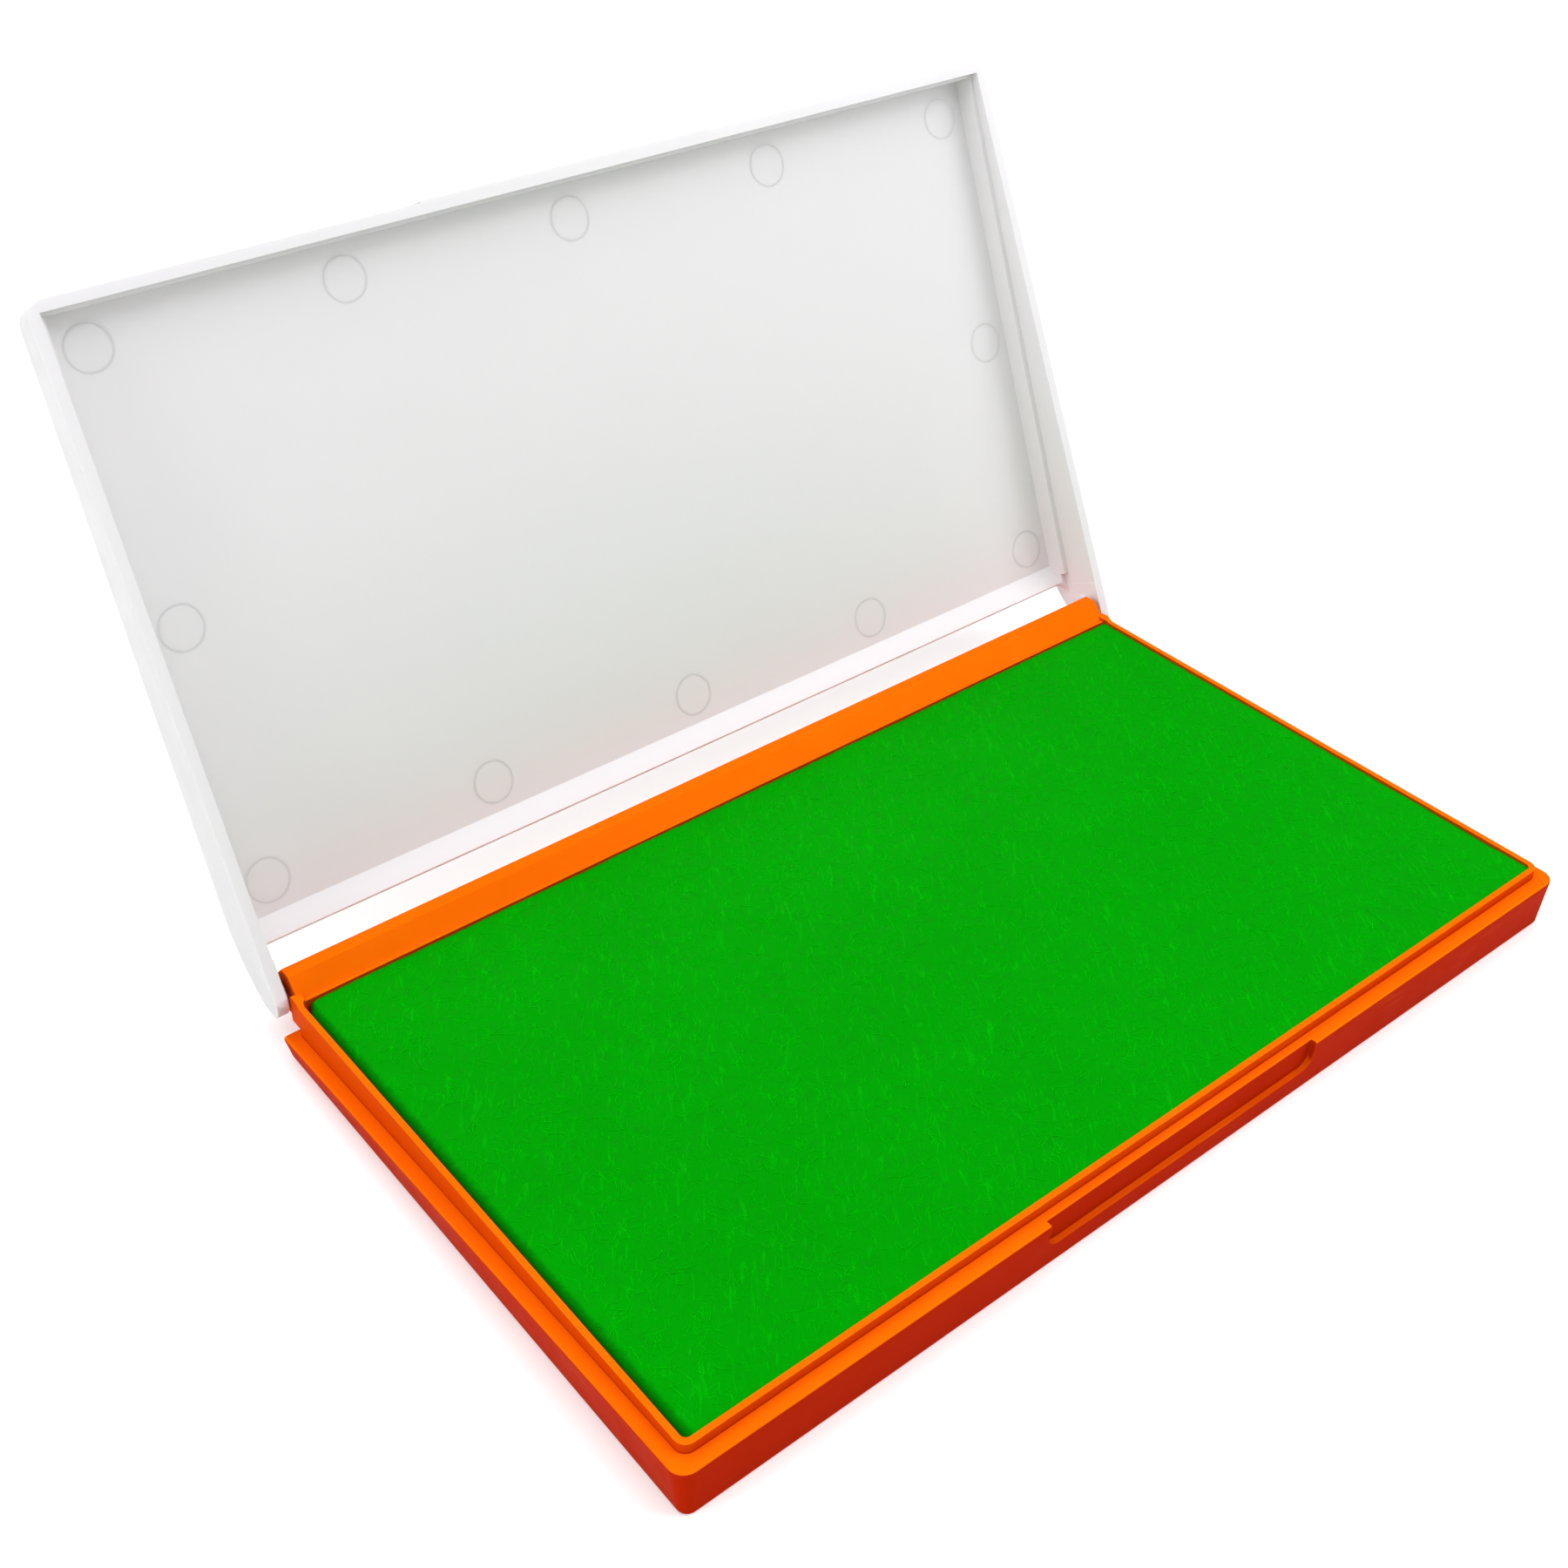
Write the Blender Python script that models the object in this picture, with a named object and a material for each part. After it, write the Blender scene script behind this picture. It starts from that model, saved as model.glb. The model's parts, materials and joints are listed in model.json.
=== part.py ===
"""Ink pad with a hinged lid: a moulded tray, a felt pad and a moulded lid, shown with the lid open.

The origin is the centre of the tray's underside. +X is the long side, +Y points to the hinge, +Z is up.
"""

import math

import bmesh
import bpy
from mathutils import Matrix, Vector

MM = 0.001

# Driving dimensions
PAD_OPENING_LENGTH = 90.9 * MM
PAD_OPENING_DEPTH = 50.0 * MM
RIM_WALL = 0.5 * MM
LEDGE_WIDTH = 1.15 * MM
FRONT_LEDGE_WIDTH = 1.23 * MM
RIM_HEIGHT = 5.67 * MM
LEDGE_HEIGHT_FRONT = 4.76 * MM
PARTING_SLOPE = 0.0445
FLOOR_THICKNESS = 1.1 * MM
GAP = 0.3 * MM
OPEN_ANGLE = math.radians(115.6)

# Tray, seen from above
TRAY_FRONT = -28.55 * MM
TRAY_BACK = 28.46 * MM
SIDE_DRAFT = 0.45 * MM
FRONT_DRAFT = 0.25 * MM
OPENING_HALF = PAD_OPENING_LENGTH / 2
RIM_FRONT = TRAY_FRONT + FRONT_LEDGE_WIDTH
OPENING_FRONT = RIM_FRONT + RIM_WALL
OPENING_BACK = OPENING_FRONT + PAD_OPENING_DEPTH
RIM_HALF = OPENING_HALF + RIM_WALL
TRAY_HALF = RIM_HALF + LEDGE_WIDTH
NOTCH_FRONT = 23.9 * MM
RIM_END = 24.3 * MM
OUTER_CORNER = 1.35 * MM
FOOT_CORNER = 0.85 * MM
NOTCH_CORNER = 0.12 * MM
RIM_CORNER = 0.9 * MM
OPENING_CORNER = 0.5 * MM
EDGE_ROUND = 0.2 * MM
FOOT_ROUND = 0.25 * MM
NOTCH_ROUND = 0.1 * MM

# Hinge bar along the tray's back
BAR_HALF = 45.55 * MM
BAR_TOP = 7.2 * MM
BAR_TOP_FRONT = 24.86 * MM
BAR_TOP_BACK = 26.03 * MM
BAR_FOOT_HEIGHT = 5.31 * MM
BAR_SHOULDER = (27.47 * MM, 5.67 * MM)
BAR_HEEL_HEIGHT = 3.9 * MM
BAR_UNDERSIDE = 3.0 * MM
BAR_END_ROUND = 0.12 * MM
CHEEK_TOP = 6.0 * MM
CHEEK_CLIMB = 0.7 * MM
CHEEK_INSET = 0.02 * MM
CHEEK_ROUND = 0.3 * MM
POCKET_HEIGHT = 4.6 * MM
POCKET_FRONT = 24.9 * MM
POCKET_BACK = 27.3 * MM
POCKET_REACH = 41.0 * MM
POCKET_RIB = 1.0 * MM

# Hinge axis, pins and sockets
AXIS = Vector((0.0, 26.48 * MM, 4.86 * MM))
SOCKET_RADIUS = 0.8 * MM
SOCKET_DEPTH = 1.55 * MM
PIN_RADIUS = SOCKET_RADIUS - GAP
PIN_END_GAP = 0.4 * MM
BOSS_RADIUS = 1.8 * MM
BOSS_FACE = BAR_HALF + GAP
DIMPLE_RADIUS = 2.0 * MM
DIMPLE_DEPTH = 0.12 * MM

# Finger recess in the tray's front wall
RECESS_LENGTH = 29.2 * MM
RECESS_BOTTOM = 2.25 * MM
RECESS_DEPTH = 0.55 * MM
RECESS_CORNER = 1.2 * MM
RECESS_FLARE = 0.35

# Lid, in its own frame: origin on the hinge axis, rim facing -Z, front towards -Y
LID_HALF = TRAY_HALF
LID_LENGTH = 55.35 * MM
LID_WALL = 0.9 * MM
LID_PLATE = 1.0 * MM
LID_RIM = -2.40 * MM
LID_DEPTH_AT_AXIS = 6.63 * MM
LID_TAPER = 0.054
LID_DRAFT = 0.2 * MM
LID_CORNER = 1.4 * MM
LID_EDGE_ROUND = 0.5 * MM
SHOULDER_STEP = 0.25 * MM
REBATE_DRAFT = 0.02
HOLLOW_DRAFT = 0.1
SHOULDER_HEIGHT = 1.85 * MM
LIP_INNER = (-3.45 * MM, 1.65 * MM)
LIP_OUTER = (-3.15 * MM, 2.20 * MM)
STRIP_FOOT = 5.2 * MM
STRIP_BACK = 4.9 * MM
WINDOW_EDGE = 4.7 * MM
ARM_GAP_HALF = 46.1 * MM
ARM_GAP_START = -4.3 * MM
WINDOW_CORNER = 1.4 * MM
ARM_TIP = 1.8 * MM
ARM_ROUND = 1.75 * MM
ARM_BACK = ((1.65, 2.4), (1.05, 3.7), (0.0, 4.6), (-1.7, 5.45), (-3.3, 6.0))
THUMB_LIP_LENGTH = 29.2 * MM
THUMB_LIP_PROUD = 0.15 * MM
THUMB_LIP_HEIGHT = 2.2 * MM
THUMB_LIP_CORNER = 0.14 * MM

# Felt pad
PAD_LENGTH = PAD_OPENING_LENGTH - 2 * GAP
PAD_DEPTH = PAD_OPENING_DEPTH - 2 * GAP
PAD_BOTTOM = FLOOR_THICKNESS + GAP
PAD_TOP = RIM_HEIGHT - 0.15 * MM
PAD_CORNER = 0.6 * MM
PAD_EDGE_ROUND = 0.3 * MM

CORNER_STEPS = 6
ROUND_STEPS = 3
PIN_SEGMENTS = 24
BEYOND = 3.0 * MM
SEAT = 0.3 * MM


def clear_scene():
    for item in list(bpy.data.objects):
        bpy.data.objects.remove(item, do_unlink=True)


def plastic(name, colour, roughness):
    material = bpy.data.materials.new(name)
    material.use_nodes = True
    shader = material.node_tree.nodes["Principled BSDF"]
    shader.inputs["Base Color"].default_value = (*colour, 1.0)
    shader.inputs["Roughness"].default_value = roughness
    shader.inputs["Metallic"].default_value = 0.0
    return material


def add_object(name, mesh, material=None):
    item = bpy.data.objects.new(name, mesh)
    bpy.context.collection.objects.link(item)
    if material:
        mesh.materials.append(material)
    return item


def as_cutter(item):
    item.hide_render = True
    item.display_type = "WIRE"
    return item


def boolean(target, tool, operation):
    modifier = target.modifiers.new(operation.lower(), "BOOLEAN")
    modifier.operation = operation
    modifier.object = as_cutter(tool)


def mesh_from(name, bm):
    bmesh.ops.recalc_face_normals(bm, faces=bm.faces)
    mesh = bpy.data.meshes.new(name)
    bm.to_mesh(mesh)
    bm.free()
    return mesh


def arc(centre, radius, start, end, steps):
    """Points of an arc in a plane, both ends included, angles in degrees."""
    points = []
    for step in range(steps + 1):
        angle = math.radians(start + (end - start) * step / steps)
        points.append((centre[0] + radius * math.cos(angle), centre[1] + radius * math.sin(angle)))
    return points


def rounded_rectangle(half, front, back, front_radius, back_radius):
    """Outline seen from above, anticlockwise from the front right corner."""
    inner = half - front_radius
    outer = half - back_radius
    points = arc((inner, front + front_radius), front_radius, -90, 0, CORNER_STEPS)
    points += arc((outer, back - back_radius), back_radius, 0, 90, CORNER_STEPS)
    points += arc((-outer, back - back_radius), back_radius, 90, 180, CORNER_STEPS)
    points += arc((-inner, front + front_radius), front_radius, 180, 270, CORNER_STEPS)
    return points


def loft(name, rings):
    """Closed body through rings of equal length, each a list of (x, y, z)."""
    bm = bmesh.new()
    layers = [[bm.verts.new(point) for point in ring] for ring in rings]
    for lower, upper in zip(layers, layers[1:]):
        for index in range(len(lower)):
            following = (index + 1) % len(lower)
            bm.faces.new((lower[index], lower[following], upper[following], upper[index]))
    bm.faces.new(layers[0][::-1])
    bm.faces.new(layers[-1])
    return mesh_from(name, bm)


def slab(name, half, front, back, bottom, top, radius):
    """Upright block with rounded corners in plan."""
    outline = rounded_rectangle(half, front, back, radius, radius)
    rings = [[(x, y, z) for x, y in outline] for z in (bottom, top)]
    return loft(name, rings)


def prism(name, profile, left, right):
    """Profile of (y, z) points swept along X."""
    rings = [[(x, y, z) for y, z in profile] for x in (left, right)]
    return loft(name, rings)


def rounded_prism(name, profile, half, radius):
    """Prism whose two end outlines are rounded over."""
    mesh = prism(name, profile, -half, half)
    bm = bmesh.new()
    bm.from_mesh(mesh)
    ends = [edge for edge in bm.edges if abs(edge.verts[0].co.x - edge.verts[1].co.x) < 1e-9]
    bmesh.ops.bevel(bm, geom=ends, offset=radius, segments=2, profile=0.5, affect="EDGES")
    bm.to_mesh(mesh)
    bm.free()
    return mesh


def box(name, x, y, z):
    """Plain block from three (low, high) pairs."""
    return prism(name, [(y[0], z[0]), (y[1], z[0]), (y[1], z[1]), (y[0], z[1])], x[0], x[1])


def rod(name, radius, left, right, centre):
    """Round bar along X."""
    profile = arc((centre.y, centre.z), radius, 0, 360, PIN_SEGMENTS)[:-1]
    return prism(name, profile, left, right)


def ledge_height(y):
    """The parting line falls from the front of the tray to its back."""
    return LEDGE_HEIGHT_FRONT - PARTING_SLOPE * (y - TRAY_FRONT)


def rounding(radius):
    """(inset, distance from the edge) pairs that round over an edge."""
    turns = [math.radians(90 * step / ROUND_STEPS) for step in range(ROUND_STEPS + 1)]
    return [(radius * (1 - math.sin(turn)), radius * (1 - math.cos(turn))) for turn in turns]


def tray_ring(inset, level, drafted):
    """One ring of the outer wall: level(y) is its height, drafted runs from 0 at the ledge to 1 at the foot."""
    half = TRAY_HALF - SIDE_DRAFT * drafted - inset
    front = TRAY_FRONT + FRONT_DRAFT * drafted + inset
    corner = OUTER_CORNER + (FOOT_CORNER - OUTER_CORNER) * drafted
    outline = rounded_rectangle(half, front, NOTCH_FRONT, corner, NOTCH_CORNER)
    return [(x, y, level(y)) for x, y in outline]


def tray_outer_mesh():
    rings = []
    for inset, drop in rounding(FOOT_ROUND):
        rings.append(tray_ring(inset, lambda y, drop=drop: drop, 1.0))
    for inset, drop in reversed(rounding(EDGE_ROUND)):
        rings.append(tray_ring(inset, lambda y, drop=drop: ledge_height(y) - drop, 0.0))
    return loft("base_tray", rings)


def bar_profile():
    """Section of the hinge bar: a sloped front, a narrow flat top and a back that falls to the heel."""
    slope = (BAR_TOP - BAR_FOOT_HEIGHT) / (BAR_TOP_FRONT - OPENING_BACK)
    buried = OPENING_BACK - FLOOR_THICKNESS
    buried_height = BAR_FOOT_HEIGHT - slope * FLOOR_THICKNESS
    return [
        (buried, BAR_UNDERSIDE),
        (TRAY_BACK - FOOT_ROUND, BAR_UNDERSIDE),
        (TRAY_BACK, BAR_UNDERSIDE + FOOT_ROUND),
        (TRAY_BACK, BAR_HEEL_HEIGHT),
        BAR_SHOULDER,
        (BAR_TOP_BACK, BAR_TOP),
        (BAR_TOP_FRONT, BAR_TOP),
        (buried, buried_height),
    ]


def cheek_profile():
    """The side rim climbs in front of the hinge arm and stops short of it."""
    start = OPENING_BACK - CHEEK_CLIMB
    return [
        (start - CHEEK_CLIMB, BAR_UNDERSIDE + FOOT_ROUND),
        (RIM_END, BAR_UNDERSIDE + FOOT_ROUND),
        (RIM_END, CHEEK_TOP - CHEEK_ROUND),
        (RIM_END - CHEEK_ROUND, CHEEK_TOP),
        (start + CHEEK_CLIMB, CHEEK_TOP),
        (start, RIM_HEIGHT - SEAT / 3),
        (start - CHEEK_CLIMB, RIM_HEIGHT - SEAT),
    ]


def recess_mesh():
    """Cutter for the finger recess: round lower corners, open at the ledge."""
    half = RECESS_LENGTH / 2
    inner = half - RECESS_CORNER
    centre_height = RECESS_BOTTOM + RECESS_CORNER
    outline = [(half, LEDGE_HEIGHT_FRONT + BEYOND), (-half, LEDGE_HEIGHT_FRONT + BEYOND)]
    outline += arc((-inner, centre_height), RECESS_CORNER, 180, 270, CORNER_STEPS)
    outline += arc((inner, centre_height), RECESS_CORNER, 270, 360, CORNER_STEPS)
    back = TRAY_FRONT + RECESS_DEPTH
    front = TRAY_FRONT - BEYOND
    flare = BEYOND * RECESS_FLARE
    rings = [[(x, back, z) for x, z in outline]]
    rings.append([(x, front, z - flare * (z < centre_height)) for x, z in outline])
    return loft("recess_cutter", rings)


def build_tray(material):
    tray = add_object("base_tray", tray_outer_mesh(), material)
    rim_back = NOTCH_FRONT - NOTCH_ROUND
    rim = slab("rim_body", RIM_HALF, RIM_FRONT, rim_back, FOOT_ROUND, RIM_HEIGHT, RIM_CORNER)
    boolean(tray, add_object("rim_body", rim), "UNION")
    bar = rounded_prism("bar_body", bar_profile(), BAR_HALF, BAR_END_ROUND)
    boolean(tray, add_object("bar_body", bar), "UNION")
    for side, label in ((1, "right"), (-1, "left")):
        low, high = sorted((side * (OPENING_HALF - SEAT), side * (RIM_HALF - CHEEK_INSET)))
        cheek = prism(f"cheek_{label}", cheek_profile(), low, high)
        boolean(tray, add_object(f"cheek_{label}", cheek), "UNION")
    cavity = slab(
        "cavity_cutter",
        OPENING_HALF,
        OPENING_FRONT,
        OPENING_BACK,
        FLOOR_THICKNESS,
        BAR_TOP + BEYOND,
        OPENING_CORNER,
    )
    boolean(tray, add_object("cavity_cutter", cavity), "DIFFERENCE")
    boolean(tray, add_object("recess_cutter", recess_mesh()), "DIFFERENCE")
    cut_sockets(tray)
    cut_pockets(tray)
    shade_round(tray)
    return tray


def cut_sockets(tray):
    for side, label in ((1, "right"), (-1, "left")):
        low, high = sorted((side * (BAR_HALF - SOCKET_DEPTH), side * (BAR_HALF + BEYOND)))
        socket = rod(f"socket_{label}", SOCKET_RADIUS, low, high, AXIS)
        boolean(tray, add_object(f"socket_{label}", socket), "DIFFERENCE")


def cut_pockets(tray):
    """Three pockets core the bar out from below, with ribs between them."""
    width = (2 * POCKET_REACH - 2 * POCKET_RIB) / 3
    for index in range(3):
        left = -POCKET_REACH + index * (width + POCKET_RIB)
        name = f"pocket_{index}"
        pocket = box(name, (left, left + width), (POCKET_FRONT, POCKET_BACK), (-BEYOND, POCKET_HEIGHT))
        boolean(tray, add_object(name, pocket), "DIFFERENCE")


def shade_round(item):
    item.data.shade_smooth()
    item.data.set_sharp_from_angle(angle=math.radians(32))


def build_pad(material):
    half = PAD_LENGTH / 2
    front = (OPENING_FRONT + OPENING_BACK - PAD_DEPTH) / 2
    back = front + PAD_DEPTH
    rings = []
    for inset, drop in [(0.0, PAD_TOP - PAD_BOTTOM)] + rounding(PAD_EDGE_ROUND)[::-1]:
        corner = PAD_CORNER - inset * 0.5
        outline = rounded_rectangle(half - inset, front + inset, back - inset, corner, corner)
        rings.append([(x, y, PAD_TOP - drop) for x, y in outline])
    pad = add_object("felt_pad", loft("felt_pad", rings), material)
    shade_round(pad)
    return pad


def outer_top(s):
    """Height of the lid's outer face in its own frame, s ahead of the hinge axis."""
    return LID_RIM + LID_DEPTH_AT_AXIS - LID_TAPER * s


def inner_top(s):
    return outer_top(s) - LID_PLATE


def side_profile():
    """Outline of the lid's side walls and hinge arms as (y, z), from the front rim round the arm's end."""
    tip = arc((ARM_TIP - ARM_ROUND, LID_RIM + ARM_ROUND), ARM_ROUND, -90, 0, CORNER_STEPS)
    back = [(y * MM, LID_RIM + z * MM) for y, z in ARM_BACK]
    plate = [
        (-STRIP_BACK, outer_top(STRIP_BACK)),
        (-LID_LENGTH + LID_DRAFT, outer_top(LID_LENGTH - LID_DRAFT)),
    ]
    return [(-LID_LENGTH, LID_RIM)] + tip + back + plate


def lid_outer_mesh():
    mesh = prism("lid", side_profile(), -LID_HALF, LID_HALF)
    bm = bmesh.new()
    bm.from_mesh(mesh)
    corners = [
        edge
        for edge in bm.edges
        if all(abs(vert.co.y + LID_LENGTH) < 2 * LID_DRAFT for vert in edge.verts)
        and abs(edge.verts[0].co.x - edge.verts[1].co.x) < 1e-9
    ]
    bmesh.ops.bevel(bm, geom=corners, offset=LID_CORNER, segments=CORNER_STEPS, profile=0.5, affect="EDGES")
    round_outer_edges(bm)
    for vert in bm.verts:
        drafted = max(0.0, (vert.co.z - LID_RIM) / LID_DEPTH_AT_AXIS)
        vert.co.x -= math.copysign(LID_DRAFT * drafted, vert.co.x)
    bm.to_mesh(mesh)
    bm.free()
    return mesh


def round_outer_edges(bm):
    """Round the border between the lid's outer face and its front and side walls."""
    bm.normal_update()
    tops = {face for face in bm.faces if face.normal.z > 0.25 and abs(face.normal.x) < 0.1}
    border = [
        edge
        for edge in bm.edges
        if len(edge.link_faces) == 2 and sum(face in tops for face in edge.link_faces) == 1
        and not all(face.normal.y > 0.7 for face in edge.link_faces if face not in tops)
    ]
    bmesh.ops.bevel(bm, geom=border, offset=LID_EDGE_ROUND, segments=ROUND_STEPS, profile=0.5, affect="EDGES")


def hollow_profile(front_wall, depth_drop):
    """Section of the lid's hollow: front wall, floor, then the slope down to the lip by the hinge."""
    front = -LID_LENGTH + front_wall
    lip_y, lip_z = LIP_INNER
    lip_z = min(lip_z, inner_top(STRIP_FOOT) - depth_drop)
    return [
        (lip_y + SEAT, LID_RIM - BEYOND),
        (front, LID_RIM - BEYOND),
        (front, inner_top(-front) - depth_drop),
        (-STRIP_FOOT, inner_top(STRIP_FOOT) - depth_drop),
        (lip_y, lip_z),
        (lip_y + SEAT, lip_z),
    ]


def hollow_mesh(name, half, profile, draft):
    """The hollow narrows from the rim to the floor."""
    rings = []
    for side in (-1, 1):
        rings.append([(side * (half - draft * max(0.0, z - LID_RIM)), y, z) for y, z in profile])
    return loft(name, rings)


def window_profile(shift):
    """Section of the gap between the hinge arms, its front edge moved back by shift."""
    lip_y, lip_z = LIP_INNER
    edge_y, edge_z = LIP_OUTER
    top = outer_top(0.0) + SEAT
    lean = (edge_y + WINDOW_EDGE) / (outer_top(WINDOW_EDGE) - edge_z)
    return [
        (BEYOND + ARM_TIP, lip_z - SEAT),
        (lip_y - SEAT / 2 + shift, lip_z - SEAT),
        (lip_y + shift, lip_z),
        (edge_y + shift, edge_z),
        (edge_y + shift - lean * (top - edge_z), top),
        (BEYOND + ARM_TIP, top),
    ]


def window_mesh():
    """The gap's front corners are round, so its ends lie further back than its middle."""
    rings = []
    for step in range(CORNER_STEPS + 1):
        angle = math.radians(90 * step / CORNER_STEPS)
        x = ARM_GAP_HALF - WINDOW_CORNER * (1 - math.cos(angle))
        rings.append((x, WINDOW_CORNER * (1 - math.sin(angle))))
    rings = [(-x, shift) for x, shift in rings] + rings[::-1]
    return loft("window_cutter", [[(x, y, z) for y, z in window_profile(shift)] for x, shift in rings])


def build_lid(material):
    lid = add_object("lid", lid_outer_mesh(), material)
    inner = LID_HALF - LID_WALL
    thumb = slab(
        "thumb_lip",
        THUMB_LIP_LENGTH / 2,
        -LID_LENGTH - THUMB_LIP_PROUD,
        -LID_LENGTH + LID_WALL,
        LID_RIM,
        LID_RIM + THUMB_LIP_HEIGHT,
        THUMB_LIP_CORNER,
    )
    boolean(lid, add_object("thumb_lip", thumb), "UNION")
    wide = hollow_mesh("hollow_wide", inner, hollow_profile(LID_WALL, SHOULDER_HEIGHT), REBATE_DRAFT)
    boolean(lid, add_object("hollow_wide", wide), "DIFFERENCE")
    narrow_wall = LID_WALL + SHOULDER_STEP
    narrow_profile = hollow_profile(narrow_wall, 0.0)
    narrow = hollow_mesh("hollow_floor", inner - SHOULDER_STEP, narrow_profile, HOLLOW_DRAFT)
    boolean(lid, add_object("hollow_floor", narrow), "DIFFERENCE")
    gap_y = (ARM_GAP_START, BEYOND + ARM_TIP)
    gap_z = (LID_RIM - BEYOND, LIP_INNER[1])
    arm_gap = box("arm_gap", (-ARM_GAP_HALF, ARM_GAP_HALF), gap_y, gap_z)
    boolean(lid, add_object("arm_gap", arm_gap), "DIFFERENCE")
    boolean(lid, add_object("window_cutter", window_mesh()), "DIFFERENCE")
    add_pins(lid)
    cut_dimples(lid)
    shade_round(lid)
    return lid


def add_pins(lid):
    """Each arm carries a round boss and a pin that turns in the bar's socket."""
    pin_end = BAR_HALF - SOCKET_DEPTH + PIN_END_GAP
    for side, label in ((1, "right"), (-1, "left")):
        low, high = sorted((side * BOSS_FACE, side * (ARM_GAP_HALF + SEAT)))
        boss = rod(f"boss_{label}", BOSS_RADIUS, low, high, Vector())
        boolean(lid, add_object(f"boss_{label}", boss), "UNION")
        low, high = sorted((side * pin_end, side * (ARM_GAP_HALF + SEAT / 2)))
        pin = rod(f"pin_{label}", PIN_RADIUS, low, high, Vector())
        boolean(lid, add_object(f"pin_{label}", pin), "UNION")


def cut_dimples(lid):
    """A shallow round dimple faces each pin on the arm's outer side."""
    for side, label in ((1, "right"), (-1, "left")):
        low, high = sorted((side * (LID_HALF - DIMPLE_DEPTH), side * (LID_HALF + BEYOND)))
        dimple = rod(f"dimple_{label}", DIMPLE_RADIUS, low, high, Vector())
        boolean(lid, add_object(f"dimple_{label}", dimple), "DIFFERENCE")


def hang_lid(lid):
    """Turn the lid and its cutters about the hinge axis into the open position."""
    hinge = bpy.data.objects.new("hinge_axis", None)
    bpy.context.collection.objects.link(hinge)
    hinge.location = AXIS
    hinge.rotation_euler = (-OPEN_ANGLE, 0.0, 0.0)
    for item in [lid] + [modifier.object for modifier in lid.modifiers]:
        item.parent = hinge
        item.matrix_parent_inverse = Matrix.Identity(4)


def main():
    clear_scene()
    orange = plastic("orange_plastic", (1.0, 0.19, 0.01), 0.38)
    white = plastic("white_plastic", (0.86, 0.86, 0.87), 0.32)
    felt = plastic("green_felt", (0.0, 0.36, 0.01), 0.95)
    build_tray(orange)
    build_pad(felt)
    hang_lid(build_lid(white))


main()
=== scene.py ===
"""The ink pad's looks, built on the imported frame: moulded plastic, inked felt, marks and studio."""

import json
import math

import bmesh
import bpy
import numpy as np
from mathutils import Matrix, Vector

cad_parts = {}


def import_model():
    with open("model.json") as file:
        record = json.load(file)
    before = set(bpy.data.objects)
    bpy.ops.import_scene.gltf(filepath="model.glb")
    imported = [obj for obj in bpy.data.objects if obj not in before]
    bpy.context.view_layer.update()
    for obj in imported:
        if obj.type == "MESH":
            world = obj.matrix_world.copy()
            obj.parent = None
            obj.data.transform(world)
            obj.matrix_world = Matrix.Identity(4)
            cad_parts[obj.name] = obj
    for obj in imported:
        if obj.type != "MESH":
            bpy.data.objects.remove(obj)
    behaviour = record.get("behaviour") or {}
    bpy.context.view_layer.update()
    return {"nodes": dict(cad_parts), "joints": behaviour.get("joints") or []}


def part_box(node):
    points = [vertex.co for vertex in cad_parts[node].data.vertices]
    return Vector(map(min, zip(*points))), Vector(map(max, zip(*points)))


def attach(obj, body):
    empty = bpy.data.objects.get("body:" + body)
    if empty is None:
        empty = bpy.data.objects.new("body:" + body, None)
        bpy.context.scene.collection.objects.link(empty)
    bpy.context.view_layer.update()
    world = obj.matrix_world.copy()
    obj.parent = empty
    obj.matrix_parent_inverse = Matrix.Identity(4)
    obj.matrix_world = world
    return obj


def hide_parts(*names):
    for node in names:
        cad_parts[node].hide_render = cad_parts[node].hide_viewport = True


MM = 0.001
TINY = 1e-12

# The lid at rest stands OPEN_ANGLE from the tray's plane. Its floor passes the hinge axis at
# LID_FLOOR_AT_AXIS and comes nearer to it by LID_FLOOR_TAPER ahead. LID_CENTRE is its middle
OPEN_ANGLE = math.radians(115.6)
LID_FLOOR_AT_AXIS = 3.23 * MM
LID_FLOOR_TAPER = 0.054
LID_CENTRE = (0.0, 38.2 * MM, 30.0 * MM)

# The tray's ledge falls towards the hinge
LEDGE_AT_ORIGIN = 3.49 * MM
LEDGE_SLOPE = 0.0445

# Linear colours. Mouldings and felt each vary between the two of a pair
# The tray's orange in painted shade, for its side faces and the recess's sill, and in painted light,
# for its faces that look up
SHADED_ORANGE = ((0.37, 0.014, 0.0003, 1.0), (0.45, 0.020, 0.0005, 1.0))
LIT_ORANGE = ((0.94, 0.138, 0.0010, 1.0), (0.99, 0.165, 0.0018, 1.0))
# For scuffs and worn edges; on the edges it also stands for a painted highlight
WORN_AND_HIGHLIGHT_ORANGE = (0.95, 0.24, 0.02, 1.0)
POLISHED_WHITE = ((0.788, 0.772, 0.794, 1.0), (0.810, 0.793, 0.816, 1.0))
# Painted shade: a greyer white for the lid's outer walls and back
SHADED_OUTER_WHITE = (0.595, 0.592, 0.599, 1.0)
FELT_GREEN = ((0.0, 0.262, 0.0006), (0.0, 0.320, 0.0008))
FELT_DARK_GREEN = (0.0, 0.205, 0.0004)
FELT_THREAD_GREEN = (0.002, 0.48, 0.002)
# Painted shade along the felt's left edge
FELT_SHADED_EDGE_GREEN = (0.0, 0.11, 0.0004)
BRIGHTEST_GREEN = 0.9
PAPER_WHITE = (0.97, 0.97, 0.97, 1.0)
PURE_WHITE = (1.0, 1.0, 1.0, 1.0)

# Soft edges of the mouldings
EDGE_SOFTNESS = 0.12 * MM
EDGE_SEGMENTS = 3
EDGE_ANGLE = math.radians(32)
WELD_DISTANCE = 0.002 * MM
NORMAL_WEIGHT = 60

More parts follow.
